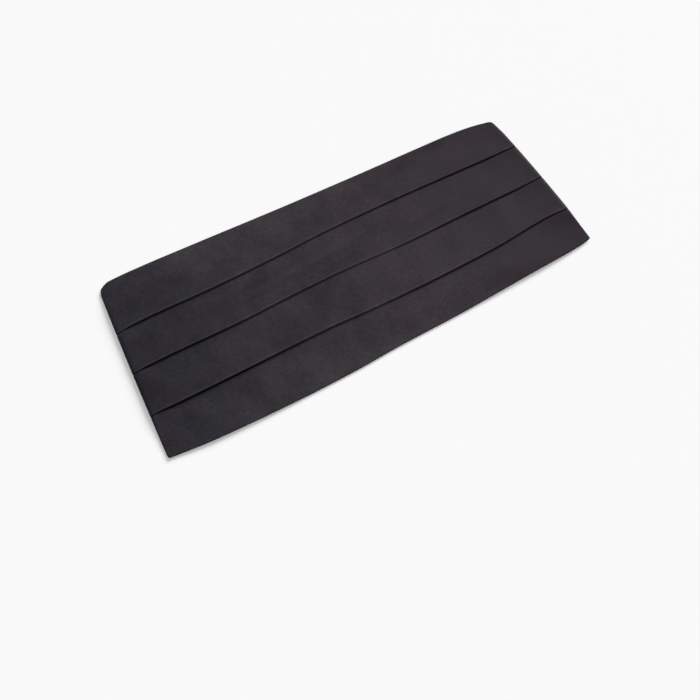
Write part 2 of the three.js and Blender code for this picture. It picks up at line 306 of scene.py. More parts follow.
steps = np.arange(1, BLEND_STEPS + 1) / BLEND_STEPS
turns = np.pi * np.arange(1, FOLD_STEPS) / FOLD_STEPS
stations = np.concatenate([
    stretch(TAIL, -1, spaced(TAIL_END, LEFT_START, TAIL_SPACING)),
    stretch(TAIL, -1, LEFT_START, steps),
    stretch(FOLD, -1, LEFT_START, 1.0, turns),
    stretch(PANEL, -1, LEFT_START, steps[::-1]),
    stretch(PANEL, 0, spaced(LEFT_START, RIGHT_START, PANEL_SPACING)),
    stretch(PANEL, 1, RIGHT_START, steps),
    stretch(FOLD, 1, RIGHT_START, 1.0, turns[::-1]),
    stretch(TAIL, 1, RIGHT_START, steps[::-1]),
    stretch(TAIL, 1, spaced(RIGHT_START, -TAIL_END, TAIL_SPACING)),
])
kind, side, station_x, to_fold, turn = (column[:, None] for column in stations.T)
on_panel, in_fold, in_tail = kind == PANEL, kind == FOLD, kind == TAIL
print(len(stations), "stations")


def corner_drop(distance, radius):
    """How far a rounded corner draws an edge in: a quarter circle of that radius."""
    short = np.clip(radius - distance, 0, radius)
    return radius - np.sqrt(radius * radius - short * short)


def lines_at_stations():
    """Heights of the five lines, one row for each station, with the corners rounded. In the
    folds and tails they are those of the end that they belong to."""
    end_share = (side[:, 0] + 1) / 2
    share = station_x[:, 0] / PANEL_LENGTH + 0.5
    share = np.where(on_panel[:, 0], blend(share, end_share, to_fold[:, 0]), end_share)
    heights = np.stack([curve_through(LINES_AT, LINES[n], share) for n in LINE_NAMES], 1)
    heights *= PANEL_WIDTH
    unrolled = np.where(on_panel, 1.0, 1 - np.sin(np.maximum(turn, np.pi / 2)))
    for which, end_of, end_side, corner, sign in (
        (0, left_end, -1, "top_left", -1),
        (0, right_end, 1, "top_right", -1),
        (4, left_end, -1, "bottom_left", 1),
        (4, right_end, 1, "bottom_right", 1),
    ):
        height = heights[:, which : which + 1].copy()
        straight = end_side * (end_of(height) - station_x)
        distance = np.where(on_panel, blend(straight, FOLD_RADIUS, to_fold), FOLD_RADIUS * unrolled)
        distance = np.where((side == 0) | (side == end_side), distance, PANEL_LENGTH)
        heights[:, which] += sign * corner_drop(distance, CORNER_RADIUS[corner])[:, 0]
    return heights


lines = lines_at_stations()
print("widest front:", (lines[:, 0] - lines[:, 4]).max().round(1), "mm")

# %% [markdown]
# ## The profile of one strip
#
# Each strip is a thin satin cloth. Its upper edge is tucked under the strip above, and its
# lower edge is turned under in a small, soft U, which is the folded lip that shows. The first
# strip has such a turned edge on top as well. The profile is a closed outline round the cloth
# in three columns: anchor says which edge a point keeps its distance from, 0 for the upper and
# 1 for the lower, offset is that distance, and level is the height in the cloth's stack.

# %% Profile
CLOTH = 0.4
SEAM_SPACE = STRIP_HEIGHT - 2 * CLOTH
TOP_COLUMNS = 34
TUCK_COLUMNS = 8
UNDER_COLUMNS = 14
TURN_COLUMNS = 10
CAP_COLUMNS = 4
LIP_TURN_UNDER = 6.0
EDGE_TURN_UNDER = 10.0
CREASE_START = 0.05


def close_at_ends(count):
    """Shares from 0 to 1, closest together at both ends: half a wave of the cosine."""
    return 0.5 - 0.5 * np.cos(np.pi * np.arange(count + 1) / count)


def arc(anchor, middle, level, radius, start, stop, count):
    """Points on a circle, left out at both ends, from one angle to another. The angle 0 points
    up and 90 degrees down the front."""
    angle = np.radians(blend(start, stop, np.arange(1, count) / count))
    offset = middle + radius * np.sin(angle)
    return np.stack([np.full_like(angle, anchor), offset, level + radius * np.cos(angle)], 1)


def run(from_anchor, from_offset, to_anchor, to_offset, level, count):
    """A level line from one place of the profile to another."""
    share = close_at_ends(count)
    anchor = blend(from_anchor, to_anchor, share)
    offset = blend(from_offset, to_offset, share)
    return np.stack([anchor, offset, np.full_like(share, level)], 1)


def strip_profile(turned_top, lower_turn_under):
    """Outline of the cloth: down its face, round the lower U and its turned-under part, back
    along the lining side, and round the upper edge, tucked or turned."""
    outer, inner, half = STRIP_HEIGHT / 2, SEAM_SPACE / 2, CLOTH / 2
    face = STRIP_HEIGHT - half
    first = outer if turned_top else -PLEAT_OVERLAP + half
    low_end = half - lower_turn_under
    face_start = first if turned_top else CREASE_START
    parts = []
    if not turned_top:
        parts.append(run(0, first, 0, CREASE_START, STRIP_HEIGHT, TUCK_COLUMNS)[:-1])
    parts += [
        run(0, face_start, 1, -outer, STRIP_HEIGHT, TOP_COLUMNS),
        arc(1, -outer, outer, outer, 0, 180, TURN_COLUMNS),
        run(1, -outer, 1, low_end, 0.0, UNDER_COLUMNS // 2),
        arc(1, low_end, half, half, 180, 360, CAP_COLUMNS),
        run(1, low_end, 1, -outer, CLOTH, UNDER_COLUMNS // 2),
        arc(1, -outer, outer, inner, 180, 0, TURN_COLUMNS),
        run(1, -outer, 0, first, face - half, UNDER_COLUMNS),
    ]
    if turned_top:
        top_end = EDGE_TURN_UNDER - half
        parts += [
            arc(0, outer, outer, inner, 360, 180, TURN_COLUMNS),
            run(0, outer, 0, top_end, CLOTH, UNDER_COLUMNS // 2),
            arc(0, top_end, half, half, 0, 180, CAP_COLUMNS),
            run(0, top_end, 0, outer, 0.0, UNDER_COLUMNS // 2),
            arc(0, outer, outer, outer, 180, 360, TURN_COLUMNS),
        ]
    else:
        parts.append(arc(0, first, face, half, 180, 360, CAP_COLUMNS))
    return np.concatenate(parts)


profile = strip_profile(False, LIP_TURN_UNDER)
print(len(profile), "points round the cloth of a middle strip")

# %% [markdown]
# ## From the profile to the band
#
# A strip climbs from its tucked edge onto the next one's, so its face rises to the lip. Just
# above the lip it is puffed up a little, and that slope catches a thin line of light along
# each pleat. Near an end fold the ground of a crease rises and fills it. Round the fold every
# layer is carried on a half circle about the same middle line, and on the tails the profile
# lies upside down and narrows.

# %% Strip surface
LIP_PUFF = 0.2
LIP_PUFF_RUN = 1.7
LIP_FLAT = 0.7
FRONT_FADE = 7.0
CREASE_SHEAR = 1.0
CREASE_FILL = 1.0
FILL_WIDTH = 14.0
FILL_STEP = 0.2
FILL_FADE_LEFT = 18.0
FILL_FADE_RIGHT = 30.0


def climb_curve(share):
    """0 at 0 and 1 at 1, steep at first and level at the end: 1.5x - 0.5x^3."""
    return 1.5 * share - 0.5 * share**3


def settled(share, climb, number):
    """How far a strip sinks to the table at the band's two long edges, where only one strip
    lies in each layer: the first strip at its upper edge and the last at its lower edge."""
    if number == 1:
        return LIP_RISE - climb
    if number == len(LINE_NAMES) - 1:
        return LIP_RISE * climb_curve(np.clip(share, 0, 1))
    return 0.0


def strip_points(profile, number, lipped, tucked):
    """Grid of points in mm, a row for each station and a column for each point of the profile.
    The height above the band's inner face is the level, plus the climb to the lip, plus what
    fills a crease near an end fold. On the front the lip's puff and opening and the wrinkles
    are added, and these three fade out before an end fold."""
    anchor, offset, level = profile.T
    upper, lower = lines[:, number - 1 : number], lines[:, number : number + 1]
    pitch = upper - lower
    down = anchor * pitch + offset
    fold_y = upper - down
    along = np.clip(down / (pitch - PLEAT_OVERLAP - LIP_CLEARANCE), 0, 1)
    climb = LIP_RISE * climb_curve(along) * lipped
    settle = settled(down / pitch, climb, number)

    start = blend(station_x, np.where(side < 0, left_end(fold_y), right_end(fold_y)), to_fold)
    to_end = np.minimum((start - left_end(fold_y)) / FILL_FADE_LEFT,
                        (right_end(fold_y) - start) / FILL_FADE_RIGHT)
    near_end = np.where(in_fold, 1.0, 1 - ease(to_end))
    fill = CREASE_FILL * ease((down - CREASE_START) / FILL_STEP) * (1 - ease(down / FILL_WIDTH))
    fill = fill * near_end if tucked else 0.0
    above = level + climb + fill

    own_outer = climb + STRIP_HEIGHT + fill
    clear = np.clip((down - CREASE_START) / CREASE_SHEAR, 0, 1)
    outer = blend(BAND_HEIGHT, own_outer, clear) if tucked else own_outer
    end = np.where(side < 0, left_end(fold_y), right_end(fold_y))
    tail_face = BAND_HEIGHT + np.where(side < 0, 0.0, right_tail_lift(end)) - settle
    panel_face = panel_lift(end, fold_y) - settle
    inner_radius = (panel_face - tail_face) / 2
    fold_middle = (panel_face + tail_face) / 2
    fold_x = end - side * (inner_radius + outer)
    x = blend(station_x, fold_x, to_fold)

    from_end = np.minimum(x - left_end(fold_y), right_end(fold_y) - x) - FOLD_RADIUS
    front = ease(from_end / FRONT_FADE) * on_panel
    share = np.clip(x / PANEL_LENGTH + 0.5, 0, 1)
    above = above + front * wrinkle_height(x, fold_y)
    if lipped:
        from_lip = pitch - down
        puff = LIP_PUFF * ease((LIP_PUFF_RUN + LIP_FLAT - from_lip) / LIP_PUFF_RUN)
        opening = curve_through(OPENING_AT, OPENING[LINE_NAMES[number]], share)
        opening = opening * ease((OPENING_RUN - from_lip) / OPENING_RUN)
        above = above + front * (puff + opening)

    radius = inner_radius + above
    from_fold = np.where(to_fold < 1, blend(PANEL_LENGTH / 2 - side * station_x, 0.0, to_fold), 0.0)
    taper = np.where(in_tail, tail_taper(from_fold), 1.0)
    tail_lift = np.where(side < 0, 0.0, right_tail_lift(x))
    tail_z = tail_lift + BAND_HEIGHT - above - settle
    panel_z = panel_lift(x, fold_y) + above - settle
    fold_z = fold_middle - radius * np.cos(turn)
    z = np.where(on_panel, panel_z, np.where(in_tail, tail_z, fold_z))
    x = x + np.where(in_fold, side * radius * np.sin(turn), 0.0)
    return np.stack([x, fold_y * taper, z], 2)


def cloth_coordinates(points, profile):
    """The cloth's own flat coordinates in mm: the distance along the band, 0 in the middle of
    the front, and the distance round the profile from its first point."""
    gaps = np.linalg.norm(np.diff(points, axis=0), axis=2)
    along = np.concatenate([np.zeros((1, points.shape[1])), np.cumsum(gaps, axis=0)])
    middle = np.argmin(np.where(on_panel[:, 0], np.abs(station_x[:, 0]), np.inf))
    along -= along[middle]
    closed = np.concatenate([points, points[:, :1]], axis=1)
    steps_round = np.linalg.norm(np.diff(closed, axis=1), axis=2)
    across = np.concatenate([np.zeros((len(points), 1)), np.cumsum(steps_round, axis=1)], axis=1)
    along = np.concatenate([along, along[:, :1]], axis=1)
    return np.stack([along, across], 2)


print("stations and points of a middle strip:", strip_points(profile, 2, True, True).shape[:2])

# %% [markdown]
# ## Making a mesh of a grid
#
# A grid of points that closes on itself in one direction is a tube, here a very flat one. Each
# cell of the grid is one four-sided face, and one face closes each end. The cloth's own
# coordinates go into a UV map in metres, so that the weave runs along the band on the front,
# round the folds and on the tails alike.

# %% Mesh of a grid
def skin(name, points, flat_coordinates, shade):
    """A closed mesh. Face (i, j) joins the points (i, j), (i, j+1), (i+1, j+1) and (i+1, j).
    shade, one value for each point, becomes the vertex attribute light_and_dark."""
    rows, columns = points.shape[:2]
    i, j = np.meshgrid(np.arange(rows - 1), np.arange(columns), indexing="ij")
    after = (j + 1) % columns
    cells = np.stack([i * columns + j, i * columns + after,
                      (i + 1) * columns + after, (i + 1) * columns + j], 2).reshape(-1, 4)
    corners = np.stack([flat_coordinates[:-1, :-1], flat_coordinates[:-1, 1:],
                        flat_coordinates[1:, 1:], flat_coordinates[1:, :-1]], 2)
    first = list(range(columns - 1, -1, -1))
    last = [(rows - 1) * columns + k for k in range(columns)]
    mesh = bpy.data.meshes.new(name)
    vertices = ((points * (1, 1, PRESSED) + ORIGIN) * MM).reshape(-1, 3)
    mesh.from_pydata(vertices.tolist(), [], cells.tolist() + [first, last])
    uv = np.concatenate([
        corners.reshape(-1, 2), flat_coordinates[0, first], flat_coordinates[-1, :columns],
    ]) * MM
    mesh.uv_layers.new(name="cloth").data.foreach_set("uv", uv.ravel())
    attribute = mesh.attributes.new("light_and_dark", "FLOAT", "POINT")
    attribute.data.foreach_set("value", shade.ravel())
    smooth = np.ones(len(mesh.polygons), bool)
    smooth[-2:] = False
    mesh.polygons.foreach_set("use_smooth", smooth)
    mesh.update()
    piece = bpy.data.objects.new(name, mesh)
    bpy.context.scene.collection.objects.link(piece)
    return piece


def enclosed_volume(piece):
    """Volume in cubic metres, positive if the faces point outwards: a sixth of the sum of the
    triple products of the triangles' corners."""
    mesh = piece.data
    mesh.calc_loop_triangles()
    co = np.empty(len(mesh.vertices) * 3)
    mesh.vertices.foreach_get("co", co)
    index = np.empty(len(mesh.loop_triangles) * 3, np.int32)
    mesh.loop_triangles.foreach_get("vertices", index)
    a, b, c = co.reshape(-1, 3)[index.reshape(-1, 3)].transpose(1, 0, 2)
    return float(np.einsum("ij,ij->i", a, np.cross(b, c)).sum() / 6)


# %% [markdown]
# ## Materials from real ones
#
# Each finish starts from what the real material is, with its colour as the hex value that a
# picture of it shows. A shader works in linear light, so one function converts. One small
# function adds a node, sets it up and links it.

# %% Colour and node helpers
def linear(hex_colour):
    """sRGB hex to linear red, green, blue and alpha, by the sRGB curve."""
    values = np.array([int(hex_colour[k : k + 2], 16) for k in (1, 3, 5)]) / 255
    low, high = values / 12.92, ((values + 0.055) / 1.055) ** 2.4
    return (*np.where(values <= 0.04045, low, high).tolist(), 1.0)


def add_node(material, kind, settings=None, links=None, **values):
    """A node of that kind. settings are its own options, values its inputs by name, with _ for
    a space, and links the sockets that feed its inputs."""
    node = material.node_tree.nodes.new(kind)
    for option, value in (settings or {}).items():
        setattr(node, option, value)
    for socket, value in values.items():
        node.inputs[socket.replace("_", " ")].default_value = value
    for socket, source in (links or {}).items():
        material.node_tree.links.new(source, node.inputs[socket])
    return node


def new_material(name):
    """An empty node material and its output node."""
    material = bpy.data.materials.new(name)
    material.use_nodes = True
    material.node_tree.nodes.clear()
    return material, add_node(material, "ShaderNodeOutputMaterial")


def multiply(material, first, second):
    """The product of two sockets."""
    node = add_node(material, "ShaderNodeMath", {"operation": "MULTIPLY"})
    material.node_tree.links.new(first, node.inputs[0])
    material.node_tree.links.new(second, node.inputs[1])
    return node.outputs["Value"]


print("#808080 in linear light:", round(linear("#808080")[0], 3))

# %% [markdown]
# ## Black satin
#
# Satin is woven so that each thread floats over four or more others before it is bound. The
# floats lie side by side along the band and act as tiny rods: they give a soft sheen, not a
# mirror. Threads are about 0.12 mm apart, too fine for this view, so the grain is drawn
# several times coarser. Noise makes faint patches that are lighter or glossier, and others
# that are a little cooler or warmer.
#
# The photo's cloth is a cooler grey at the left end and a warmer one further right. Four colours
# run along the band, found by trial against the photo. They are partly the cloth's dye and partly
# painted light and shade. The last is the darkest, since under these lamps the right end would
# otherwise come out lighter than in the photo, so that darkness is painted shade, and for another
# light one colour may serve better. The shader also multiplies the colour by light_and_dark, a
# value on the mesh's points that is made with the strips and holds painted light and shade.

# %% Satin material
GRAIN_WIDTH = 0.9
GRAIN_LENGTH = 3.2
PATCH_SIZE = 18.0
TINT_SIZE = 7.0
NOISE_LOW, NOISE_HIGH = 0.3, 0.7
# Colours along the band: partly the cloth's dye, partly painted light and shade, with painted shade
# on the darker right end.
DYE_AND_PAINTED_LIGHT_FROM, DYE_AND_PAINTED_LIGHT_TO = -145.0, 145.0
DYE_AND_PAINTED_LIGHT = [(0.0, "#29272d"), (0.3, "#302d31"), (0.62, "#322c31"), (1.0, "#1f161f")]


def satin_material():
    """Dark dyed satin, with painted light and shade in its colour from the ramp along the band and
    from the value light_and_dark. The weave's noise lies on the cloth's own coordinates, the
    patches' and the tint's on the piece's."""
    material, output = new_material("black_satin")
    coordinates = add_node(material, "ShaderNodeUVMap", {"uv_map": "cloth"})
    place = add_node(material, "ShaderNodeTexCoord")
    grain_scale = (1 / (GRAIN_LENGTH * MM), 1 / (GRAIN_WIDTH * MM), 1.0)
    grain_place = add_node(material, "ShaderNodeMapping", Scale=grain_scale,
                           links={"Vector": coordinates.outputs["UV"]})
    grain = add_node(material, "ShaderNodeTexNoise", Scale=1.0, Detail=2.0, Roughness=0.6,
                     links={"Vector": grain_place.outputs["Vector"]})
    patches = add_node(material, "ShaderNodeTexNoise", Scale=1 / (PATCH_SIZE * MM), Detail=4.0,
                       Roughness=0.55, links={"Vector": place.outputs["Object"]})

    axes = add_node(material, "ShaderNodeSeparateXYZ", links={"Vector": place.outputs["Object"]})
    along = add_node(material, "ShaderNodeMapRange", From_Min=DYE_AND_PAINTED_LIGHT_FROM * MM, From_Max=DYE_AND_PAINTED_LIGHT_TO * MM,
                     links={"Value": axes.outputs["X"]})
    # This ramp is the dye with painted light and shade: darker towards the right end.
    dye = add_node(material, "ShaderNodeValToRGB", links={"Fac": along.outputs["Result"]})
    ramp = dye.color_ramp
    ramp.interpolation = "EASE"
    while len(ramp.elements) < len(DYE_AND_PAINTED_LIGHT):
        ramp.elements.new(0.5)
    for element, (place_along, hex_colour) in zip(ramp.elements, DYE_AND_PAINTED_LIGHT):
        element.position = place_along
        element.color = linear(hex_colour)

    shade = add_node(material, "ShaderNodeMapRange", From_Min=NOISE_LOW, From_Max=NOISE_HIGH,
                     To_Min=0.8, To_Max=1.2, links={"Value": patches.outputs["Fac"]})
    thread = add_node(material, "ShaderNodeMapRange", From_Min=0.25, From_Max=0.75, To_Min=0.7,
                      To_Max=1.3, links={"Value": grain.outputs["Fac"]})
    # Painted light and shade: dark creases and edges, lighter lines above the lips.
    creases = add_node(material, "ShaderNodeAttribute", {"attribute_name": "light_and_dark"})
    total = multiply(material, shade.outputs["Result"], thread.outputs["Result"])
    total = multiply(material, total, creases.outputs["Fac"])
    mottle = add_node(material, "ShaderNodeTexNoise", Scale=1 / (TINT_SIZE * MM), Detail=2.0,
                      links={"Vector": place.outputs["Object"]})
    warmth = add_node(material, "ShaderNodeMapRange", From_Min=NOISE_LOW, From_Max=NOISE_HIGH,
                      To_Min=0.94, To_Max=1.06, links={"Value": mottle.outputs["Fac"]})
    red = multiply(material, total, warmth.outputs["Result"])
    shade_colour = add_node(material, "ShaderNodeCombineColor",
                            links={"Red": red, "Green": total, "Blue": total})
    # The colour ramp times the noise and the painted light and shade.
    colour_with_painted_light = add_node(material, "ShaderNodeMix", {"data_type": "RGBA", "blend_type": "MULTIPLY"},
                     {"A": dye.outputs["Color"], "B": shade_colour.outputs["Color"]}, Factor=1.0)

    gloss = add_node(material, "ShaderNodeMapRange", From_Min=NOISE_LOW, From_Max=NOISE_HIGH,
                     To_Min=0.42, To_Max=0.54, links={"Value": patches.outputs["Fac"]})
    relief = add_node(material, "ShaderNodeBump", Strength=0.35, Distance=0.00008,
                      links={"Height": grain.outputs["Fac"]})
    shader = add_node(material, "ShaderNodeBsdfPrincipled", IOR=1.5, links={
        "Base Color": colour_with_painted_light.outputs["Result"], "Roughness": gloss.outputs["Result"],
        "Normal": relief.outputs["Normal"]})
    shader.inputs["Specular IOR Level"].default_value = 0.07
    shader.inputs["Sheen Weight"].default_value = 0.03
    shader.inputs["Sheen Roughness"].default_value = 0.4
    material.node_tree.links.new(shader.outputs["BSDF"], output.inputs["Surface"])
    return material


satin = satin_material()
print("made", satin.name)

# %% [markdown]
# ## The four strips
#
# The first strip has a turned edge on both sides, the next two are tucked above and turned
# below, and the last is tucked above and ends in the band's lower edge, which has a wider
# turning. Every strip is one closed piece of cloth that stands for its CAD solid. The flat size
# is that of the cut cloth: the band unrolled, and the strip with what is turned or tucked.
#
# The value light_and_dark is painted light and shade. It holds what the shapes and the lamps alone
# show too weakly beside the photo: painted shade inside a crease, darker at the left end, a painted
# highlight just above a lip, painted light and shade on the wrinkles' sides, and a painted dark
# line round the folds and long edges, which may be the photo's sharpening. Its numbers were tried
# until the picture matched.

# %% Make the strips
def flat_size(points, profile):
    """Greatest width, length and area of the cut cloth, in mm: half the way round the profile
    at each station, times the step to the next one."""
    closed = np.concatenate([points, points[:, :1]], axis=1)
    width = np.linalg.norm(np.diff(closed, axis=1), axis=2).sum(axis=1) / 2
    middle = points[:, TOP_COLUMNS // 2]
    step = np.linalg.norm(np.diff(middle, axis=0), axis=1)
    return width.max(), step.sum(), ((width[1:] + width[:-1]) / 2 * step).sum()


# Painted light and shade, multiplied into the cloth's colour as light_and_dark.
EDGE_PAINTED_HIGHLIGHT = 0.35
HIGHLIGHT_PLACE = 0.85
HIGHLIGHT_WIDTH = 0.5
LIP_SHADE_LEVEL = 0.75 * STRIP_HEIGHT
GROUND_START, GROUND_RUN, GROUND_RUN_AT_LEFT = 0.1, 0.7, 1.2
FOLD_SHADE = 0.45
LONG_EDGE_SHADE = 0.5
LONG_EDGE_RUN = 0.8
LEFT_END_DARKNESS = 0.3
WRINKLE_PAINTED_LIGHT = 0.6
MIDDLE_SHADE = 0.94
SIDE_GAIN = 0.24
SHUT_LOSS = 0.25
OPEN_LOSS = 0.6
GREATEST_LOSS = 0.9
NOMINAL_PITCH = PANEL_WIDTH / 4


def crease_darkness(name):
    """The share of light that a crease loses, one value for each station: a quarter where the
    crease is just shut, less where it is pressed in, more where it opens and at the left end,
    nine tenths at most. It runs on round an end fold as far as the fold faces up."""
    share = np.clip(station_x / PANEL_LENGTH + 0.5, 0, 1)
    lost = SHUT_LOSS + OPEN_LOSS * curve_through(OPENING_AT, OPENING[name], share)
    lost = lost + LEFT_END_DARKNESS * np.where(side < 0, to_fold, 0)
    seen = np.where(in_fold, np.clip(-np.cos(turn), 0, 1), on_panel)
    return np.clip(lost, 0, GREATEST_LOSS) * seen


def light_and_dark(points, profile, number, lipped, tucked):
    """A product of factors, all of them painted light and shade. The first is painted light that
    grows with the square of the distance from the middle line: this was fitted to the photo, and
    what light it stands for isn't known. The others are a bell curve of painted highlight just
    above the lip, painted light and shade from the wrinkles' slope over one millimetre, and painted
    shade: the under side of the lip, the ground of the crease, the long edges and the outermost
    line of an end fold."""
    anchor, offset, level = profile.T
    down = anchor * NOMINAL_PITCH + offset
    on_face = level == STRIP_HEIGHT
    x, y = points[:, :, 0], points[:, :, 1]
    # Painted light: lighter towards the long edges.
    shade = MIDDLE_SHADE + SIDE_GAIN * (y * 2 / PANEL_WIDTH) ** 2
    # Painted shade on the outermost line of an end fold.
    shade *= blend(1, FOLD_SHADE, np.sin(turn) ** 2)
    # Painted light and shade on the wrinkles' sides.
    slope = wrinkle_height(x, y - 0.5) - wrinkle_height(x, y + 0.5)
    shade *= 1 + WRINKLE_PAINTED_LIGHT * slope * on_face * on_panel
    if lipped:
        from_lip = NOMINAL_PITCH - down
        # Painted highlight above the lip, painted shade under it.
        bell = np.exp(-(((from_lip - HIGHLIGHT_PLACE) / HIGHLIGHT_WIDTH) ** 2)) * on_face
        under_lip = (level < LIP_SHADE_LEVEL) & (anchor > 0.5)
        shade *= 1 + EDGE_PAINTED_HIGHLIGHT * bell
        shade *= 1 - crease_darkness(LINE_NAMES[number]) * under_lip
    if tucked:
        # Painted shade on the ground of the crease.
        at_left = 1 - ease((x + PANEL_LENGTH / 2) / FILL_FADE_LEFT)
        ground_run = blend(GROUND_RUN, GROUND_RUN_AT_LEFT, at_left)
        ground = (1 - ease((down - GROUND_START) / ground_run)) * on_face
        shade *= 1 - crease_darkness(LINE_NAMES[number - 1]) * ground
    else:
        # Painted shade along the upper long edge.
        shade *= blend(LONG_EDGE_SHADE, 1, ease(down / LONG_EDGE_RUN))
    if not lipped:
        # Painted shade along the lower long edge.
        shade *= blend(LONG_EDGE_SHADE, 1, ease((NOMINAL_PITCH - down) / LONG_EDGE_RUN))
    return shade


strips = {}
for number in range(1, len(LINE_NAMES)):
    name = f"satin_strip_{number}"
    lipped, tucked = number < len(LINE_NAMES) - 1, number > 1
    profile = strip_profile(not tucked, LIP_TURN_UNDER if lipped else EDGE_TURN_UNDER)
    points = strip_points(profile, number, lipped, tucked)
    shade = light_and_dark(points, profile, number, lipped, tucked)
    piece = skin(name, points, cloth_coordinates(points, profile), shade)
    piece.data.materials.append(satin)
    width, length, area = flat_size(points, profile)
    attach(piece, "root")
    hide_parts(f"pleat_{number}")
    strips[number] = piece
    print(f"{name}: cut {width:.0f} x {length:.0f} mm, {area / 100:.0f} cm2,",
          len(piece.data.polygons), "faces, volume", round(enclosed_volume(piece) * 1e6, 2), "ml")

# %% [markdown]
# ## The straps
#
# The straps are hidden in the photo. Such bands commonly have a plain black ribbon at each
# narrow end, so that is what is built: a flat hook on the right one and a slot for it in the
# left. Grosgrain ribbon has fine ribs across its width. Here the ribs are in the mesh, two
# rows of cells for each slope of a rib, and the slot is a gap in the grid whose sides are
# closed by a wall. Both lie between the layers and are finished plainly.

# %% Ribbon surface
RIBBON_THICKNESS = 0.9
RIB_PITCH = 1.0
RIB_HEIGHT = 0.1
RIBBON_CORNER = 2.0
RIBBON_CELL = 0.25
SLOT_LENGTH = 12.0
SLOT_WIDTH = 2.0
SLOT_INSET = 5.0
STRAP_LENGTH = 50.4
SELVEDGE = 0.35


def ribbon_mesh(name, start, direction, bottom, slotted):
    """Two grids, an upper and a lower face, joined by a wall wherever a cell is missing beside
    one that is there. Ribs are a cosine along the length, and the long edges thin out."""
    along = spaced(0.0, STRAP_LENGTH, RIBBON_CELL)
    across = np.linspace(-1.0, 1.0, int(STRAP_WIDTH / RIBBON_CELL / 2) + 1)
    u, v = np.meshgrid(along, across, indexing="ij")
    half_width = STRAP_WIDTH / 2 - corner_drop(STRAP_LENGTH - u, RIBBON_CORNER)
    y = v * half_width
    rib = RIB_HEIGHT / 2 * (np.cos(2 * np.pi * u / RIB_PITCH) - 1)
    from_edge = np.minimum(half_width - np.abs(y), STRAP_LENGTH - u)
    thin = RIBBON_THICKNESS / 2 * (1 - ease(from_edge / SELVEDGE)) * 0.5
    half = RIBBON_THICKNESS / 2 + rib - thin
    middle = bottom + STRIP_HEIGHT / 2
    x = start + direction * u
    top = np.stack([x, y * direction, middle + half], 2)
    under = np.stack([x, y * direction, middle - half], 2)
    cell_u, cell_v = u[:-1, :-1] + RIBBON_CELL / 2, (y[:-1, :-1] + y[1:, 1:]) / 2
    near = STRAP_LENGTH - SLOT_INSET - SLOT_WIDTH
    solid = np.ones(cell_u.shape, bool)
    if slotted:
        hole = (cell_u > near) & (cell_u < near + SLOT_WIDTH) & (np.abs(cell_v) < SLOT_LENGTH / 2)
        solid = ~hole
    count = u.size
    index = np.arange(count).reshape(u.shape)
    a, b, c, d = index[:-1, :-1], index[1:, :-1], index[1:, 1:], index[:-1, 1:]
    upper_faces = np.stack([a, b, c, d], 2)[solid]
    walls = []
    padded = np.pad(solid, 1)
    for shift, edge in (((-1, 0), (d, a)), ((0, -1), (a, b)), ((1, 0), (b, c)), ((0, 1), (c, d))):
        beside = padded[1 + shift[0] : padded.shape[0] - 1 + shift[0],
                        1 + shift[1] : padded.shape[1] - 1 + shift[1]]
        open_side = solid & ~beside
        p, q = edge[0][open_side], edge[1][open_side]
        walls.append(np.stack([q, p, p + count, q + count], 1))
    faces = np.concatenate([upper_faces, upper_faces[:, ::-1] + count, *walls])
    points = np.concatenate([top.reshape(-1, 3), under.reshape(-1, 3)])
    flat = np.concatenate([np.stack([u, y], 2).reshape(-1, 2)] * 2)
    used = np.unique(faces)
    renumber = np.zeros(len(points), int)
    renumber[used] = np.arange(len(used))
    mesh = bpy.data.meshes.new(name)
    vertices = (points[used] * (1, 1, PRESSED) + ORIGIN) * MM
    mesh.from_pydata(vertices.tolist(), [], renumber[faces].tolist())
    uv = flat[faces].reshape(-1, 2) * MM
    mesh.uv_layers.new(name="cloth").data.foreach_set("uv", uv.ravel())
    mesh.polygons.foreach_set("use_smooth", np.ones(len(mesh.polygons), bool))
    mesh.update()
    piece = bpy.data.objects.new(name, mesh)
    bpy.context.scene.collection.objects.link(piece)
    return piece


def ribbon_material():
    """Dull black ribbon: a fine weave of threads along and across it."""
    material, output = new_material("black_grosgrain_ribbon")
    coordinates = add_node(material, "ShaderNodeUVMap", {"uv_map": "cloth"})
    threads = add_node(material, "ShaderNodeTexWave", {"bands_direction": "Y"},
                       Scale=1 / (2.4 * MM), Distortion=1.5, Detail=2.0,
                       links={"Vector": coordinates.outputs["UV"]})
    fibres = add_node(material, "ShaderNodeTexNoise", Scale=1 / (0.6 * MM), Detail=3.0,
                      links={"Vector": coordinates.outputs["UV"]})
    dye = add_node(material, "ShaderNodeMix", {"data_type": "RGBA"},
                   links={"Factor": fibres.outputs["Fac"]})
    dye.inputs["A"].default_value = linear("#17161a")
    dye.inputs["B"].default_value = linear("#242226")
    relief = add_node(material, "ShaderNodeBump", Strength=0.4, Distance=0.0001,
                      links={"Height": threads.outputs["Fac"]})
    shader = add_node(material, "ShaderNodeBsdfPrincipled", Roughness=0.75, IOR=1.5, links={
        "Base Color": dye.outputs["Result"], "Normal": relief.outputs["Normal"]})
    shader.inputs["Sheen Weight"].default_value = 0.2
    material.node_tree.links.new(shader.outputs["BSDF"], output.inputs["Surface"])
    return material


# %% Make the straps
ribbon = ribbon_material()
for name, node, start, direction, bottom, slotted in (
    ("ribbon_left", "strap_left", TAIL_END + LAYER_GAP, 1, 0.0, True),
    ("ribbon_right", "strap_right", -TAIL_END - LAYER_GAP, -1, BAND_LAYER, False),
):
    piece = ribbon_mesh(name, start, direction, bottom, slotted)
    piece.data.materials.append(ribbon)
    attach(piece, "root")
    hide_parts(node)
    print(name, len(piece.data.polygons), "faces, volume",
          round(enclosed_volume(piece) * 1e6, 2), "ml")

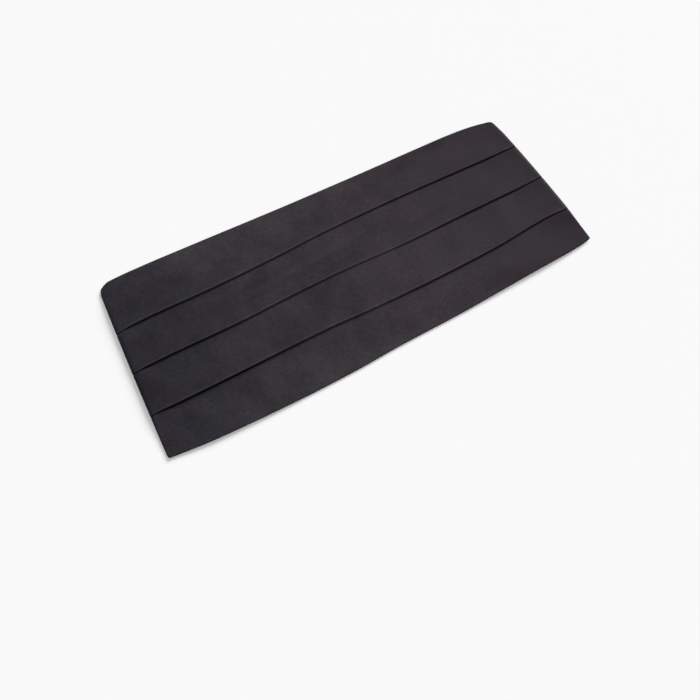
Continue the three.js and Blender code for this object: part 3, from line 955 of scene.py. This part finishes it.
# %% [markdown]
# ## The hook
#
# The hook is hidden as well, and is taken to be stamped from steel sheet and enamelled black,
# as such hooks often are. Its CAD solid already has the outline, so a copy of it is used:
# lowered with the cloth that it lies in, and its sharp edges rounded as a stamped and tumbled
# part's are. The coat is hard and fairly glossy, and slightly uneven, as flowed enamel is.

# %% Enamelled steel
MERGE_DISTANCE = 0.01 * MM
FLAT_ANGLE = math.radians(2)


def enamel_material():
    """Black enamel: a smooth dark coat with a soft unevenness a few millimetres wide."""
    material, output = new_material("black_enamelled_steel")
    place = add_node(material, "ShaderNodeTexCoord")
    flow = add_node(material, "ShaderNodeTexNoise", Scale=1 / (2.5 * MM), Detail=3.0,
                    links={"Vector": place.outputs["Object"]})
    gloss = add_node(material, "ShaderNodeMapRange", To_Min=0.22, To_Max=0.42,
                     links={"Value": flow.outputs["Fac"]})
    coat = add_node(material, "ShaderNodeMix", {"data_type": "RGBA"},
                    links={"Factor": flow.outputs["Fac"]})
    coat.inputs["A"].default_value = linear("#141416")
    coat.inputs["B"].default_value = linear("#222225")
    relief = add_node(material, "ShaderNodeBump", Strength=0.2, Distance=0.0001,
                      links={"Height": flow.outputs["Fac"]})
    shader = add_node(material, "ShaderNodeBsdfPrincipled", IOR=1.5, links={
        "Base Color": coat.outputs["Result"], "Roughness": gloss.outputs["Result"],
        "Normal": relief.outputs["Normal"]})
    material.node_tree.links.new(shader.outputs["BSDF"], output.inputs["Surface"])
    return material


def pressed_copy(node, name):
    """A copy of a CAD node with its doubled corners merged, its flat faces made whole and its
    heights pressed like the cloth's."""
    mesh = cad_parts[node].data.copy()
    mesh.name = name
    shape = bmesh.new()
    shape.from_mesh(mesh)
    bmesh.ops.remove_doubles(shape, verts=shape.verts, dist=MERGE_DISTANCE)
    bmesh.ops.dissolve_limit(shape, angle_limit=FLAT_ANGLE, verts=shape.verts,
                             edges=shape.edges)
    shape.to_mesh(mesh)
    shape.free()
    corners = np.empty(len(mesh.vertices) * 3)
    mesh.vertices.foreach_get("co", corners)
    corners[2::3] *= PRESSED
    mesh.vertices.foreach_set("co", corners)
    mesh.materials.clear()
    mesh.update()
    piece = bpy.data.objects.new(name, mesh)
    bpy.context.scene.collection.objects.link(piece)
    return piece


hook = pressed_copy("hook_clasp", "enamelled_hook")
hook.data.materials.append(enamel_material())
rounding = hook.modifiers.new("rounded edges", "BEVEL")
rounding.width = 0.2 * MM
rounding.segments = 3
rounding.limit_method = "ANGLE"
rounding.angle_limit = math.radians(40)
hook.data.shade_smooth()
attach(hook, "root")
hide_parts("hook_clasp")
print("hook:", len(hook.data.polygons), "faces before rounding")

# %% [markdown]
# ## Camera
#
# The picture looks down at about 60 degrees from the front left, from about 60 cm away. The
# place, the direction and the lens come from a least-squares fit to the outline and the
# creases. A slight roll about the view's own axis is part of the fit.

# %% Camera
CAMERA_PLACE = Vector((-0.17819, -0.30172, 0.50086))
AZIMUTH = math.radians(-31.21)
ELEVATION = math.radians(59.5)
ROLL = 0.0084
FOCAL_LENGTH = 52.5

back = Vector((
    math.sin(AZIMUTH) * math.cos(ELEVATION),
    -math.cos(AZIMUTH) * math.cos(ELEVATION),
    math.sin(ELEVATION),
))
level_right = Vector((0, 0, 1)).cross(back).normalized()
right = (Matrix.Rotation(ROLL, 3, back) @ level_right).normalized()
up = back.cross(right)

camera_data = bpy.data.cameras.new("camera")
camera_data.lens = FOCAL_LENGTH
camera_data.sensor_width = 36
camera = bpy.data.objects.new("camera", camera_data)
turned = Matrix((right, up, back)).transposed().to_4x4()
camera.matrix_world = Matrix.Translation(CAMERA_PLACE) @ turned
bpy.context.scene.collection.objects.link(camera)
bpy.context.scene.camera = camera
print("camera looks along", [round(-c, 3) for c in back])

# %% [markdown]
# ## Table
#
# The table is plain and nearly white, like a sheet of matt paper that runs on beyond the
# picture on all sides.

# %% Table
TABLE_HALF = 3.0


def table_material():
    """Matt white paper with hardly any gloss."""
    material, output = new_material("white_paper_sweep")
    shader = add_node(material, "ShaderNodeBsdfPrincipled", Roughness=0.9)
    shader.inputs["Base Color"].default_value = linear("#f4f4f4")
    shader.inputs["Specular IOR Level"].default_value = 0.1
    material.node_tree.links.new(shader.outputs["BSDF"], output.inputs["Surface"])
    return material


table_mesh = bpy.data.meshes.new("table")
table_mesh.from_pydata(
    [(-TABLE_HALF, -TABLE_HALF, 0), (TABLE_HALF, -TABLE_HALF, 0),
     (TABLE_HALF, TABLE_HALF, 0), (-TABLE_HALF, TABLE_HALF, 0)], [], [(0, 1, 2, 3)])
table = bpy.data.objects.new("table", table_mesh)
table_mesh.materials.append(table_material())
bpy.context.scene.collection.objects.link(table)
print("table:", 2 * TABLE_HALF, "m wide")

# %% [markdown]
# ## Light
#
# A wide soft light stands behind and to the right, so the shadow falls to the left and a little
# to the front. A second one hangs above the viewer and reaches into that shadow and under the
# cloth's edges, and a little light comes from the room. Together they give the photo's nearly
# white ground.

# %% Light
KEY = {"direction": (0.75, 0.42, 0.52), "energy": 2.93, "spread": 34}
FILL = {"direction": (-0.2, -0.45, 0.87), "energy": 1.62, "spread": 50}
ROOM = 0.12


def sun_lamp(name, direction, energy, spread):
    """Light from one direction, as from a large soft box seen under an angle of spread."""
    lamp = bpy.data.lights.new(name, "SUN")
    lamp.energy = energy
    lamp.angle = math.radians(spread)
    holder = bpy.data.objects.new(name, lamp)
    holder.rotation_euler = Vector(direction).to_track_quat("Z", "Y").to_euler()
    bpy.context.scene.collection.objects.link(holder)
    return holder


sun_lamp("key_light", **KEY)
sun_lamp("viewer_light", **FILL)
world = bpy.data.worlds.new("bright_room")
world.use_nodes = True
world.node_tree.nodes["Background"].inputs["Color"].default_value = (1.0, 1.0, 1.0, 1.0)
world.node_tree.nodes["Background"].inputs["Strength"].default_value = ROOM
bpy.context.scene.world = world
bpy.context.scene.view_settings.view_transform = "Standard"
light_on_table = sum(
    lamp["energy"] * Vector(lamp["direction"]).normalized().z / math.pi for lamp in (KEY, FILL))
print("light on the table:", round(light_on_table + ROOM, 3))
